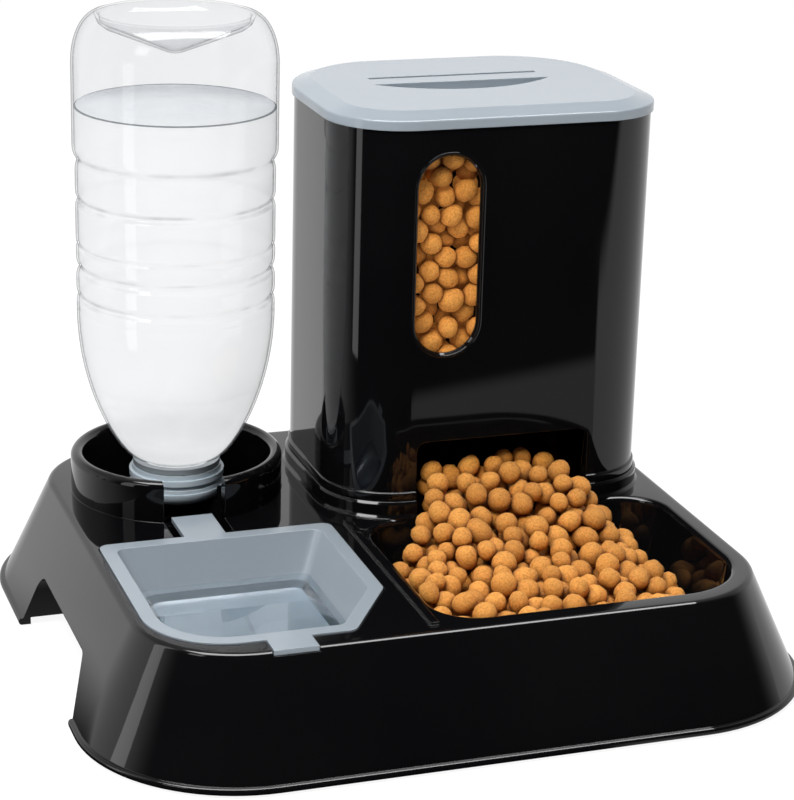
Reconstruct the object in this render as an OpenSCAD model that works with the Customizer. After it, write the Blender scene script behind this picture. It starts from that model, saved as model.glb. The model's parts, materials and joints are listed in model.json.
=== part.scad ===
// Automatic pet feeder: a black tray with a gravity food hopper, a food bowl, a lift-out
// water dish and a bottle turned upside down over a sprung valve.
// Millimetres. X runs along the front, Y to the back, Z up. The origin lies on the floor,
// under the middle of the tray's flange.

/* [Tray] */
// Width of the flange on the floor
base_w = 352; // [340:1:380]
// Depth of the flange on the floor
base_d = 326; // [318:1:350]
// Height of the deck above the floor
base_h = 56; // [54:0.5:62]
// Corner radius of the flange
base_r = 75; // [62:1:90]
// How far the skirt leans in from flange to deck
base_flare = 26.5; // [20:0.5:28]
// Wall thickness of the tray
base_wall = 2.6; // [2:0.1:3]
// Radius between skirt and deck
rim_fillet = 3.4; // [3:0.1:5]
// Thickness of the flange lip
lip_t = 3.4; // [3:0.1:4]
// Width of the flange lip outside the skirt
lip_w = 2.4; // [2:0.2:4]

/* [Hand arches] */
// Height of the arch above the floor
arch_top = 26; // [20:0.5:26.5]
// Front and back ends of the arch along its top
arch_top_y = [-50, 44.5];
// Front and back ends of the arch on the floor
arch_foot_y = [-78, 42.5];
// Corner radius at the top of the arch
arch_r = 7; // [5:0.5:10]
// Depth of the arch's turned-in lining
arch_lining = 16; // [10:1:17]

/* [Food bowl] */
// Left and right edges of the bowl opening
food_x = [-15, 139.2];
// Front and back edges of the bowl opening
food_y = [-124.4, -4];
// Corner radius of the bowl opening
food_r = 21; // [20:0.5:26]
// Radius of its outer front corner
food_outer_r = 36; // [28:1:40]
// Height of the bowl floor
food_floor = 22; // [20:0.5:26]
// Lean of the bowl wall in degrees
food_lean = 11; // [6:1:12]
// Radius between bowl wall and floor
food_fillet = 7; // [4:0.5:8]
// Radius of the rolled edge round the bowl
food_roll = 3.2; // [3:0.1:4]

/* [Water dish] */
// Left and right edges of the dish rim
dish_x = [-145, -30];
// Front and back edges of the dish rim
dish_y = [-125, 0.5];
// Radius of the big front left corner
dish_r = 38; // [30:1:42]
// Radius of the other corners
dish_corner = 5; // [3:0.5:7]
// Size of the cut corner at the front right, across and back
dish_cut = [26.5, 41.5];
// Width of the flat rim
dish_rim = 6.5; // [5:0.5:8]
// Thickness of the rim
dish_rim_t = 2.4; // [2:0.1:3]
// Wall thickness of the dish
dish_wall = 2; // [1.6:0.1:2.2]
// Height of the dish floor
dish_floor = 26; // [24:0.5:34]
// How far the walls lean in from rim to floor
dish_lean = 14; // [9:0.5:16]
// Width of the back tongue and of the front tab
tongue_w = 20.5; // [16:0.5:24]
// How far the tongue reaches behind the rim
tongue_len = 26; // [20:0.5:27]
// Centre of the tongue across the tray
tongue_x = -92.5; // [-95:0.5:-90]
// Centre of the front tab across the tray
tab_x = -87.5; // [-92:0.5:-82]
// How far the tab reaches in front of the rim
tab_len = 12; // [9:0.5:12.5]

/* [Bottle well] */
// Axis of the bottle and its well
bottle_xy = [-88.8, 71.2];
// Outer radius of the collar
collar_r = 53; // [52:0.5:54]
// Height of the collar's rim
collar_top = 76.5; // [72:0.5:82]
// Width of the folded rim
collar_rim = 6.6; // [6:0.1:8]
// Width of the notch in the collar's front
notch_w = 30; // [26:0.5:34]
// Height of the well floor
well_floor = 38; // [36:0.5:40]
// Height of the channel from the well to the dish
channel_floor = 42; // [41:0.5:44]

/* [Hopper] */
// Left and right faces of the hopper
hopper_x = [-24, 142.2];
// Front and back faces of the hopper
hopper_y = [0, 133];
// Radius of the two front corners
hopper_rf = 35; // [30:1:40]
// Radius of the two back corners
hopper_rb = 52; // [40:1:56]
// Wall thickness of the hopper
hopper_wall = 2.6; // [2.2:0.1:3]
// Height of the hopper's lower edge
hopper_foot = 64; // [62:0.5:66]
// Height of the hopper's upper edge
hopper_top = 250; // [230:1:270]
// Height of the bead round the lower edge
bead_h = 4.4; // [3:0.2:5]
// How far the bead stands out
bead_w = 1; // [0.8:0.1:2]
// Left and right sides of the food outlet
outlet_x = [14.5, 105];
// Height of the outlet's upper edge
outlet_top = 93.5; // [84:0.5:100]
// Corner radius of the outlet
outlet_r = 5; // [3:0.5:8]

/* [Plinth] */
// How far the plinth stands out round the hopper
plinth_out = 2.5; // [2.2:0.1:4]
// Height of the spigot inside the hopper's foot
spigot_h = 8; // [6:0.5:10]
// Thickness of the spigot
spigot_t = 2.4; // [2:0.1:3]

/* [Window] */
// Width of the clear window
window_w = 31.5; // [28:0.5:34]
// Overall height of the clear window
window_h = 98; // [80:1:110]
// Centre of the window across the hopper and its height
window_at = [27.8, 187.5];
// Width of the bevel round the window
window_bevel = 1.7; // [1:0.1:2]
// Thickness of the pane's flange
pane_t = 1.4; // [1.2:0.1:2]
// Overlap of the pane's flange behind the wall
pane_lap = 3; // [2:0.2:4]

/* [Lid] */
// Overhang of the lid round the hopper
lid_over = 1.2; // [0.8:0.1:2]
// Height of the lid's upright rim
lid_rim_h = 4.9; // [4:0.1:6]
// Rise of the plateau above the rim
lid_rise = 2.9; // [1.5:0.1:4]
// Width of the sloped band between rim and plateau
lid_band = 9.5; // [7:0.5:12]
// Wall thickness of the lid
lid_wall = 2.2; // [1.8:0.1:2.6]
// Depth of the plug inside the hopper
lid_plug = 7; // [5:0.5:10]
// Length of the finger grip
grip_len = 93; // [80:1:100]
// Width of the finger recess in front of the bar
grip_w = 18.5; // [14:0.5:20]
// Depth of the finger recess
grip_deep = 5.5; // [4:0.5:7]
// Width of the bar behind the recess
grip_bar = 12.5; // [10:0.5:15]
// Width of the groove behind the bar
grip_slot = 3.5; // [3:0.5:5]

/* [Bottle] */
// Body radius of the bottle
bottle_r = 50; // [48:0.5:51]
// Height of the bottle's upturned base
bottle_top = 296.5; // [285:0.5:305]
// Height where the shoulder meets the body
shoulder_top = 150; // [145:1:155]
// Height where the neck meets the shoulder
neck_top = 73; // [72:0.5:74]
// Wall thickness of the bottle
bottle_wall = 1; // [0.8:0.1:1.2]
// Outer radius of the neck
neck_r = 18; // [17:0.2:18.4]
// Wall thickness of the neck
neck_wall = 2; // [1.6:0.1:2.4]
// Heights of the grooves round the body, from the lowest up
groove_z = [148.5, 158, 172, 183.5, 206, 226];
// Depths of the grooves
groove_deep = [1, 1.4, 1.7, 0.9, 1.7, 1.5];
// Half heights of the grooves
groove_half = [1.7, 1.7, 2.4, 1.3, 1.8, 2.8];
// How far the grooved part of the body is drawn in
waist_in = 1.3; // [0:0.1:2]

/* [Valve] */
// Height of the cap's bottom above the floor
cap_z = 52; // [51:0.5:53]
// Outer radius of the cap
cap_r = 23.8; // [23:0.1:24.4]
// Height of the cap
cap_h = 16.6; // [15:0.2:17]
// Thickness of the cap's floor at the valve seat
cap_floor = 2; // [1.6:0.1:2.2]
// Thickness of the sealing washer
gasket_t = 2; // [1.6:0.1:2.4]
// Radius of the water port
port_r = 3.4; // [3:0.1:3.6]
// Inner radius of the valve tube
tube_r = 5.6; // [5.4:0.1:6.4]
// Radius of the plunger's stem
stem_r = 1.9; // [1.6:0.1:2.2]
// Travel of the plunger
valve_travel = 3.4; // [2.5:0.1:3.6]
// Wire diameter of the spring
spring_wire = 0.7; // [0.5:0.05:0.9]
// Turns in the spring
spring_turns = 4; // [3:1:5]

/* [Feet] */
// Radius of the rubber pads
foot_r = 8.5; // [7:0.5:10]
// Thickness of the rubber pads
foot_t = 3; // [2.4:0.2:4]
// Distance of the pads from the middle, across and to the back
foot_at = [112, 98];

/* [Fits] */
// Height of the flange above the floor
floor_gap = 1; // [0.6:0.1:1.6]
// Gap between a lift-off part and its seat wall
loose = 0.5; // [0.3:0.05:0.6]
// Gap between the parts of the valve
close_fit = 0.3; // [0.2:0.05:0.4]

/* [Hidden] */
$fn = 72;
loft_fn = 32;
skin = 0.01;
past = 1;

flange = rect_pts([-base_w / 2, base_w / 2], [-base_d / 2, base_d / 2]);
flange_r = [base_r, base_r, base_r, base_r];
lip_top = floor_gap + lip_t;
skirt_lean = atan2(base_flare - lip_w, base_h - lip_top);
deck_inset = 40;

food = rect_pts(food_x, food_y);
food_radii = [food_r, food_outer_r, food_r, food_r];
food_reach = food_r - 2;

dish = [
    [dish_x[0], dish_y[0]],
    [dish_x[1] - dish_cut[0], dish_y[0]],
    [dish_x[1], dish_y[0] + dish_cut[1]],
    [dish_x[1], dish_y[1]],
    [dish_x[0], dish_y[1]]
];
dish_radii = [dish_r, dish_corner, dish_corner, dish_corner, dish_corner];
dish_top = base_h + 0.6;
dish_seat = dish_top - dish_rim_t;
tray_ledge = dish_seat - 0.2;
dish_under = dish_floor - dish_wall;
tray_floor = dish_under - 2.6;

hopper = rect_pts(hopper_x, hopper_y);
hopper_radii = [hopper_rf, hopper_rf, hopper_rb, hopper_rb];
spigot_out = -hopper_wall - loose;
spigot_in = spigot_out - spigot_t;
chute_z = food_floor + 0.3;
chute_top = hopper_foot + 48;
chute_wall = 2.2;
chute_foot = 6;
chute_side = 0.7;
chute_mid = (outlet_x[0] + outlet_x[1]) / 2;
chute_boss_y = 100;
boss_r = 5;
screw_r = 1.6;
screw_len = 22;
screw_head_r = 3.4;
screw_spread = 30;
chute_y = [hopper_y[0] - spigot_in + loose, hopper_y[1] + spigot_in - loose];
chute_boss_top = chute_z + (chute_top - chute_z) * (chute_boss_y - chute_y[0] - chute_foot)
    / (chute_y[1] - chute_y[0] - chute_foot);

window = rect_pts([-window_w / 2, window_w / 2], [-window_h / 2, window_h / 2]);
window_r = window_w / 2 - skin;
window_radii = [window_r, window_r, window_r, window_r];

heel_in = 13;
heel_up = 24;
heel_z = bottle_top - heel_up;
punt_r = bottle_r - heel_in - 1;
punt_step = 4;
punt_deep = 19;
punt_tip = 4;

lid_rim_z = hopper_top + lid_rim_h;
lid_top = lid_rim_z + lid_rise;
lid_mid = [(hopper_x[0] + hopper_x[1]) / 2 - 2, (hopper_y[0] + hopper_y[1]) / 2];
grip_chord_y = lid_mid[1] + 1.5;
grip_arc = (pow(grip_len / 2, 2) + pow(grip_w, 2)) / (2 * grip_w);

well_in = collar_r - collar_rim;
notch_x = tongue_x;

seat_z = cap_z + cap_floor;
gasket_z = seat_z + 1.5;
mouth_z = gasket_z + gasket_t;
cap_top = cap_z + cap_h;
cap_bore = neck_r + 0.4;
seal_t = 1;
head_t = 1.8;
head_r = tube_r - close_fit;
tube_top = seat_z + 12;
tip_z = cap_z - 2.5;
head_z = seat_z + valve_travel + seal_t;
retainer_t = 1.4;

BLACK = [0.03, 0.03, 0.032];
GREY_BLUE = [0.6, 0.66, 0.71];
CLEAR = [0.85, 0.9, 0.93, 0.35];
RUBBER = [0.12, 0.12, 0.12];
STEEL = [0.75, 0.76, 0.78];

// ---------------------------------------------------------------- outlines and sweeps

// Corners of a rectangle, counter-clockwise from the front left.
function rect_pts(xs, ys) = [[xs[0], ys[0]], [xs[1], ys[0]], [xs[1], ys[1]], [xs[0], ys[1]]];
function wrap(list, i) = list[(i + len(list)) % len(list)];
function unit(v) = v / norm(v);
function edge_dir(pts, i) = unit(wrap(pts, i + 1) - wrap(pts, i));
function edge_normal(pts, i) = let (d = edge_dir(pts, i)) [d[1], -d[0]];
function heading(v) = atan2(v[1], v[0]);
// Angle that the outline turns through at a corner.
function turn(pts, i) = let (a = edge_dir(pts, i - 1), b = edge_dir(pts, i))
    atan2(a[0] * b[1] - a[1] * b[0], a * b);
// Length of edge that a corner's arc takes up.
function tangent(pts, radii, i) = wrap(radii, i) * tan(turn(pts, i) / 2);
function arc_centre(pts, radii, i) = wrap(pts, i) - edge_dir(pts, i - 1) * tangent(pts, radii, i)
    - edge_normal(pts, i - 1) * wrap(radii, i);
// The outline moved in by s on every side.
function inset(pts, s) = [
    for (i = [0:len(pts) - 1])
        let (a = edge_normal(pts, i - 1), b = edge_normal(pts, i))
            pts[i] - s * (a + b) / (1 + a * b)
];
function inset_radii(radii, s, least) = [for (r = radii) max(r - s, least)];

// A rounded outline, pushed out by d.
module outline(pts, radii, d = 0) {
    corners = [
        for (i = [0:len(pts) - 1]) each [
            arc_centre(pts, radii, i) + edge_normal(pts, i - 1) * (radii[i] + d),
            arc_centre(pts, radii, i) + edge_normal(pts, i) * (radii[i] + d)
        ]
    ];
    polygon(corners);
    for (i = [0:len(pts) - 1]) {
        translate(arc_centre(pts, radii, i)) circle(radii[i] + d);
    }
}

module plate(pts, radii, d, z, h) {
    translate([0, 0, z]) linear_extrude(h) outline(pts, radii, d);
}

// Sweeps a profile, drawn as outward distance and height, round a rounded outline.
module sweep_round(pts, radii) {
    for (i = [0:len(pts) - 1]) {
        translate(arc_centre(pts, radii, i))
            rotate(heading(edge_normal(pts, i - 1)))
                rotate_extrude(angle = turn(pts, i)) translate([radii[i], 0]) children();
        run = norm(wrap(pts, i + 1) - pts[i]) - tangent(pts, radii, i)
            - tangent(pts, radii, i + 1);
        if (run > skin * 4) {
            translate(wrap(pts, i + 1) - edge_dir(pts, i) * tangent(pts, radii, i + 1))
                rotate(heading(edge_normal(pts, i)))
                    rotate([90, 0, 0]) linear_extrude(run) children();
        }
    }
}

// Region beside a leaning line, rounded where it meets a flat: u is outward, v runs away
// from the flat. The line passes through [u, v] = at, and the region grows by e all round.
module leaning(at, lean, r, e, reach) {
    n = [cos(lean), -sin(lean)];
    c = [(n * at - r + sin(lean) * r) / cos(lean), r];
    open_u = (n * at + e + sin(lean) * at[1]) / cos(lean);
    polygon([[-reach, -e], [c[0], -e], c + (r + e) * n, [open_u, at[1]], [-reach, at[1]]]);
    intersection() {
        translate(c) circle(r + e);
        translate([c[0], -e]) square([2 * r + e, 2 * r + e]);
    }
}

module loft(pts, radii, s_low, z_low, s_high, z_high, least) {
    hull() {
        for (level = [[s_low, z_low], [s_high, z_high - skin]]) {
            translate([0, 0, level[1]]) linear_extrude(skin)
                outline(inset(pts, level[0]), inset_radii(radii, level[0], least), $fn = loft_fn);
        }
    }
}

// ---------------------------------------------------------------- tray

module skirt_region(e) {
    translate([0, base_h]) mirror([0, 1])
        leaning([-lip_w, base_h - lip_top], skirt_lean, rim_fillet, e, deck_inset);
}

module skirt_profile() {
    difference() {
        skirt_region(0);
        skirt_region(-base_wall);
    }
    nose = lip_t / 2;
    translate([-lip_w - base_wall - 1, floor_gap]) square([lip_w + base_wall + 1 - nose, lip_t]);
    translate([-nose, floor_gap + nose]) circle(nose);
}

module skirt() {
    sweep_round(flange, flange_r) skirt_profile();
    plate(flange, flange_r, 1 - deck_inset, base_h - base_wall, base_wall);
}

// The arch as seen from the side: a trapezoid with rounded upper corners, grown by e.
module arch_face(e) {
    slope_f = heading([arch_top_y[0] - arch_foot_y[0], arch_top]);
    slope_b = heading([arch_foot_y[1] - arch_top_y[1], arch_top]);
    front_c = arch_top_y[0] + arch_r * tan(slope_f / 2);
    back_c = arch_top_y[1] - arch_r * tan(slope_b / 2);
    front_n = [-sin(slope_f), cos(slope_f)];
    back_n = [sin(slope_b), cos(slope_b)];
    low = -past;
    polygon([
        [arch_foot_y[0] - e / sin(slope_f) + low / tan(slope_f), low],
        [arch_foot_y[1] + e / sin(slope_b) - low / tan(slope_b), low],
        [back_c, arch_top - arch_r] + (arch_r + e) * back_n,
        [back_c, arch_top + e],
        [front_c, arch_top + e],
        [front_c, arch_top - arch_r] + (arch_r + e) * front_n
    ]);
    translate([front_c, arch_top - arch_r]) circle(arch_r + e);
    translate([back_c, arch_top - arch_r]) circle(arch_r + e);
}

// Extrudes a side view along X, from x on outwards, on the side that sx names.
module sideways(sx, x, length) {
    mirror([sx > 0 ? 0 : 1, 0, 0]) translate([x, 0, 0])
        rotate([90, 0, 90]) linear_extrude(length) children();
}

module arch_linings() {
    x = base_w / 2 - base_flare * arch_top / base_h - base_wall - arch_lining;
    intersection() {
        for (sx = [-1, 1]) {
            sideways(sx, x, base_w / 2 - x) difference() {
                arch_face(base_wall);
                arch_face(0);
            }
        }
        sweep_round(flange, flange_r) difference() {
            skirt_region(-base_wall / 2);
            translate([-deck_inset - past, -past]) square([deck_inset * 2, floor_gap + past]);
        }
    }
}

module arch_cuts() {
    for (sx = [-1, 1]) {
        sideways(sx, base_w / 2 - deck_inset, deck_inset + past) arch_face(0);
    }
}

module food_profile() {
    roll_z = base_h - food_roll;
    translate([0, food_floor]) difference() {
        leaning([0, roll_z - food_floor], food_lean, food_fillet, base_wall, food_reach);
        leaning([0, roll_z - food_floor], food_lean, food_fillet, 0, food_reach);
    }
    translate([food_roll, roll_z]) intersection() {
        difference() {
            circle(food_roll);
            circle(food_roll - base_wall);
        }
        translate([-food_roll, 0]) square(food_roll);
    }
}

module food_tub() {
    sweep_round(food, food_radii) food_profile();
    plate(food, food_radii, 1 - food_reach, food_floor - base_wall, base_wall);
}

// Recess under the water dish: a ledge for the rim and a tub for the dish.
module dish_tub_solid() {
    grow = loose + base_wall;
    loft(dish, dish_radii, -grow, tray_ledge - base_wall, -grow, base_h - 1, dish_corner);
    loft(dish, dish_radii, dish_rim + dish_lean - grow - 2, tray_floor - base_wall,
        dish_rim - grow - 2, tray_ledge, dish_corner);
}

module dish_tub_hollow() {
    plate(dish, dish_radii, loose, tray_ledge, base_h - tray_ledge + past);
    loft(dish, dish_radii, dish_rim + dish_lean - loose - 2, tray_floor,
        dish_rim - loose - 2, tray_ledge + skin, dish_corner);
}

module collar_profile() {
    mid = collar_r - collar_rim / 2;
    half = collar_rim / 2;
    translate([mid, collar_top - half]) circle(half);
    translate([well_in, base_h - base_wall]) square([collar_rim, collar_top - half - base_h + base_wall]);
}

module collar() {
    translate(bottle_xy) {
        rotate_extrude() collar_profile();
        translate([0, 0, well_floor - base_wall])
            cylinder(r = well_in + base_wall, h = base_h - well_floor + base_wall);
    }
}

// The space between the collar's two walls, open below and closed beside the notch.
module collar_fold() {
    mid = collar_r - collar_rim / 2;
    half = collar_rim / 2 - base_wall / 1.3;
    blind = 2 * asin((notch_w / 2 + base_wall) / well_in);
    translate(bottle_xy) rotate(-90 + blind / 2)
        rotate_extrude(angle = 360 - blind) union() {
            translate([mid, collar_top - collar_rim / 2]) circle(half);
            translate([mid - half, base_h - base_wall - past])
                square([2 * half, collar_top - collar_rim / 2 - base_h + base_wall + past]);
        }
}

module well_hollow() {
    translate([bottle_xy[0], bottle_xy[1], well_floor])
        cylinder(r = well_in, h = collar_top);
}

// Water way from the well to the dish, and the notch above it.
module channel_shell() {
    y0 = dish_y[1] + loose;
    translate([notch_x - notch_w / 2 - base_wall, y0, channel_floor - base_wall])
        cube([notch_w + 2 * base_wall, bottle_xy[1] - well_in - y0 + 8, base_h - channel_floor + base_wall]);
}

module channel_hollow() {
    y0 = dish_y[1] - dish_rim - dish_lean;
    translate([notch_x - notch_w / 2, y0, channel_floor])
        cube([notch_w, bottle_xy[1] - y0, collar_top]);
}

module tab_notch() {
    translate([tab_x - tongue_w / 2 - loose, -base_d / 2, tray_ledge])
        cube([tongue_w + 2 * loose, base_d / 2 + dish_y[0] + dish_rim, base_h]);
}

module plinth_profile() {
    soft = 1.2;
    polygon([
        [plinth_out + soft, base_h - base_wall], [plinth_out + soft, base_h + 0.2],
        [plinth_out, base_h + 0.2 + soft], [plinth_out, hopper_foot - soft],
        [plinth_out - soft, hopper_foot], [spigot_out, hopper_foot],
        [spigot_out, hopper_foot + spigot_h - soft], [spigot_out - soft, hopper_foot + spigot_h],
        [spigot_in, hopper_foot + spigot_h], [spigot_in, base_h - base_wall]
    ]);
}

// Way for the food through plinth, deck and bowl wall.
module outlet_gap() {
    translate([outlet_x[0], food_y[1] - food_fillet * 2, food_floor])
        cube([outlet_x[1] - outlet_x[0], chute_y[0] - food_y[1] + food_fillet * 2 + 3, base_h]);
}

module divider() {
    width = 4;
    translate([(dish_x[1] + food_x[0]) / 2 + 1.5 - width / 2, food_y[0] - 4, base_h - base_wall])
        cube([width, hopper_y[0] - food_y[0] + 4, base_wall + 1.2]);
}

module foot_spots() {
    for (sx = [-1, 1], sy = [-1, 1]) {
        translate([sx * foot_at[0], sy * foot_at[1], 0]) children();
    }
}

module screw_spots() {
    for (sx = [-1, 1]) {
        translate([chute_mid + sx * screw_spread, chute_boss_y, 0]) children();
    }
}

// Bosses under the tray that hold the rubber pads.
module foot_bosses() {
    boss = foot_r + 2.4;
    foot_spots() translate([0, 0, floor_gap]) cylinder(r = boss, h = base_h - floor_gap - past);
}

module base_tray() {
    color(BLACK) difference() {
        union() {
            difference() {
                union() {
                    skirt();
                    collar();
                    foot_bosses();
                    dish_tub_solid();
                    channel_shell();
                }
                collar_fold();
                plate(food, food_radii, food_roll, food_floor, base_h);
            }
            difference() {
                sweep_round(hopper, hopper_radii) plinth_profile();
                translate([0, 0, base_h - base_wall - past])
                    linear_extrude(past) square(base_w * 2, center = true);
            }
            food_tub();
            divider();
            arch_linings();
        }
        well_hollow();
        dish_tub_hollow();
        channel_hollow();
        tab_notch();
        outlet_gap();
        chute_funnel(loose, past);
        arch_cuts();
        foot_spots() translate([0, 0, -past]) cylinder(r = foot_r + close_fit, h = foot_t + past);
        screw_spots() cylinder(r = screw_r, h = base_h + past);
    }
}

module foot(sx, sy) {
    color(RUBBER) translate([sx * foot_at[0], sy * foot_at[1], 0]) {
        soft = 0.8;
        rotate_extrude() union() {
            translate([0, soft]) square([foot_r, foot_t - soft]);
            square([foot_r - soft, foot_t]);
            translate([foot_r - soft, soft]) circle(soft);
        }
    }
}

// ---------------------------------------------------------------- chute

module feed_chute() {
    color(BLACK) difference() {
        union() {
            difference() {
                chute_funnel(0, 0);
                translate([0, -chute_wall - skin, chute_wall]) chute_funnel(-chute_wall, past);
            }
            chute_lip();
            screw_spots() translate([0, 0, base_h]) cylinder(r = boss_r, h = chute_boss_top - base_h);
        }
        screw_spots() translate([0, 0, base_h - past]) cylinder(r = screw_r, h = screw_len - 6 + past);
    }
}

// Funnel from the full hopper down to the outlet, grown by e: sloping back and sides, and an
// upright front.
module chute_funnel(e, over) {
    x0 = outlet_x[0] + chute_side - e;
    x1 = outlet_x[1] - chute_side + e;
    hull() {
        translate([x0, chute_y[0] - e, chute_z]) cube([x1 - x0, chute_foot + 2 * e, skin]);
        translate([0, 0, chute_top + over]) linear_extrude(skin)
            outline(hopper, hopper_radii, spigot_in - loose + e, $fn = loft_fn);
    }
}

// Tongue of the chute that carries the food over the bowl's back wall.
module chute_lip() {
    x0 = outlet_x[0] + chute_side;
    x1 = outlet_x[1] - chute_side;
    y0 = food_y[1] - 3;
    translate([x0, y0 - food_fillet, chute_z])
        cube([x1 - x0, chute_y[0] + chute_foot - y0 + food_fillet, chute_wall]);
    for (x = [x0, x1 - chute_wall]) {
        translate([x, y0 + 3, chute_z]) cube([chute_wall, chute_y[0] - y0, base_h - chute_z - past]);
    }
}

module chute_screw(sx) {
    color(STEEL) translate([chute_mid + sx * screw_spread, chute_boss_y, base_h - base_wall - 2]) {
        cylinder(r = screw_head_r, h = 2);
        cylinder(r = screw_r - 0.15, h = screw_len - 7);
    }
}

// ---------------------------------------------------------------- bottle cradle

module bottle_cradle() {
    ring_r = cap_r - 7;
    color(BLACK) translate([bottle_xy[0], bottle_xy[1], 0]) {
        translate([0, 0, well_floor]) difference() {
            cylinder(r = ring_r, h = 2);
            translate([0, 0, -past]) cylinder(r = ring_r - 5, h = 2 + 2 * past);
        }
        translate([0, 0, well_floor]) cylinder(r = stem_r + 1, h = tip_z - well_floor);
        for (a = [45:90:315]) {
            rotate(a) rotate([90, 0, 0]) translate([0, 0, -1]) linear_extrude(2) cradle_arm();
        }
    }
}

// Side view of one arm: low at the post, then a seat for the cap and a finger beside it.
module cradle_arm() {
    low = well_floor + 0.6;
    seat_in = cap_r - 7;
    web_top = well_floor + 3;
    finger_in = cap_r + close_fit;
    finger_out = finger_in + 4;
    polygon([
        [0, low], [finger_out, low], [finger_out, cap_z + 7], [finger_out - 1, cap_z + 8],
        [finger_in, cap_z + 8], [finger_in, cap_z], [seat_in, cap_z],
        [seat_in, web_top], [0, web_top]
    ]);
}

// ---------------------------------------------------------------- hopper

module hopper_profile() {
    soft = 1;
    translate([-hopper_wall, hopper_foot]) square([hopper_wall, hopper_top - hopper_foot]);
    translate([-hopper_wall / 2, hopper_foot])
        square([hopper_wall / 2 + bead_w - soft + 0.1, bead_h]);
    translate([bead_w - soft, hopper_foot + soft]) circle(soft);
    translate([bead_w - soft, hopper_foot + bead_h - soft]) circle(soft);
    translate([bead_w - soft, hopper_foot + soft]) square([soft, bead_h - 2 * soft]);
}

module outlet_hole() {
    w = outlet_x[1] - outlet_x[0];
    translate([outlet_x[0], hopper_y[0] + hopper_rf / 2, 0]) rotate([90, 0, 0]) linear_extrude(hopper_rf)
        union() {
            translate([0, hopper_foot - past]) square([w, outlet_top - outlet_r - hopper_foot + past]);
            translate([outlet_r, hopper_foot]) square([w - 2 * outlet_r, outlet_top - hopper_foot]);
            for (x = [outlet_r, w - outlet_r]) {
                translate([x, outlet_top - outlet_r]) circle(outlet_r);
            }
        }
}

// Puts a shape drawn on the window's plane into the hopper's front wall, its front at y.
module at_window(y) {
    translate([window_at[0], hopper_y[0] + y, window_at[1]]) rotate([90, 0, 0]) children();
}

module hopper_shell() {
    color(BLACK) difference() {
        sweep_round(hopper, hopper_radii) hopper_profile();
        outlet_hole();
        at_window(hopper_wall + past)
            linear_extrude(hopper_wall + 2 * past) outline(window, window_radii);
        at_window(0) sweep_round(window, window_radii)
            polygon([[-past, -past - skin], [-past, past], [window_bevel + past, past],
                [window_bevel, 0], [0, -window_bevel]]);
    }
}

module window_pane() {
    boss_h = hopper_wall - window_bevel + close_fit;
    color(CLEAR) {
        at_window(hopper_wall + close_fit + pane_t)
            linear_extrude(pane_t) outline(window, window_radii, pane_lap);
        at_window(hopper_wall + close_fit)
            linear_extrude(boss_h) outline(window, window_radii, -close_fit);
    }
}

// ---------------------------------------------------------------- lid

module lid_profile() {
    soft = 1.1;
    plug_out = spigot_out;
    plug_in = plug_out - lid_wall;
    flat = lid_band - lid_over;
    polygon([
        [lid_over, hopper_top], [lid_over, lid_rim_z - soft], [lid_over - soft, lid_rim_z],
        [-flat, lid_top], [-flat - past, lid_top], [-flat - past, lid_top - lid_wall],
        [-flat, lid_top - lid_wall], [plug_in, lid_rim_z - lid_wall],
        [plug_in, hopper_top - lid_plug], [plug_out, hopper_top - lid_plug], [plug_out, hopper_top]
    ]);
    translate([lid_over - soft, lid_rim_z - soft]) circle(soft);
}

// Finger recess seen from above, grown by e.
module grip_lens(e) {
    intersection() {
        translate([lid_mid[0], grip_chord_y - grip_w + grip_arc]) circle(grip_arc + e);
        translate([lid_mid[0] - grip_len, grip_chord_y - grip_len]) square([grip_len * 2, grip_len + e]);
    }
}

module grip_groove(e) {
    translate([lid_mid[0] - grip_len / 2 + 2 - e, grip_chord_y + grip_bar - e])
        square([grip_len - 4 + 2 * e, grip_slot + 2 * e]);
}

module lid_cover() {
    flat = lid_band - lid_over;
    color(GREY_BLUE) difference() {
        union() {
            sweep_round(hopper, hopper_radii) lid_profile();
            plate(hopper, hopper_radii, -flat, lid_top - lid_wall, lid_wall);
            translate([0, 0, lid_top - grip_deep - lid_wall])
                linear_extrude(grip_deep + lid_wall) grip_lens(lid_wall);
            translate([0, 0, lid_top - grip_deep - lid_wall])
                linear_extrude(grip_deep + lid_wall) grip_groove(lid_wall);
        }
        translate([0, 0, lid_top - grip_deep]) linear_extrude(grip_deep + past) grip_lens(0);
        translate([0, 0, lid_top - grip_deep]) linear_extrude(grip_deep + past) grip_groove(0);
    }
}

// ---------------------------------------------------------------- water dish

module water_dish() {
    color(GREY_BLUE) difference() {
        union() {
            plate(dish, dish_radii, 0, dish_seat, dish_rim_t);
            loft(dish, dish_radii, dish_rim + dish_lean - dish_wall, dish_floor - dish_wall,
                dish_rim - dish_wall, dish_seat + past, dish_corner);
            translate([tongue_x - tongue_w / 2, dish_y[1] - dish_rim, dish_seat])
                cube([tongue_w, dish_rim + tongue_len, dish_rim_t]);
            translate([tab_x - tongue_w / 2, dish_y[0] - tab_len, dish_seat])
                cube([tongue_w, dish_rim + tab_len, dish_rim_t]);
        }
        loft(dish, dish_radii, dish_rim + dish_lean, dish_floor, dish_rim, dish_top + past,
            dish_corner);
    }
}

// ---------------------------------------------------------------- bottle

// How far the grooves and the waist draw the wall in at height z.
function sum_to(list, i) = i < 0 ? 0 : list[i] + sum_to(list, i - 1);
function groove(z, i) = groove_deep[i] * exp(-pow((z - groove_z[i]) / groove_half[i], 2));
function drawn_in(z) = sum_to([for (i = [0:len(groove_z) - 1]) groove(z, i)], len(groove_z) - 1)
    + waist_in / (1 + exp((z - groove_z[len(groove_z) - 1]) / 1.2));
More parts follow.
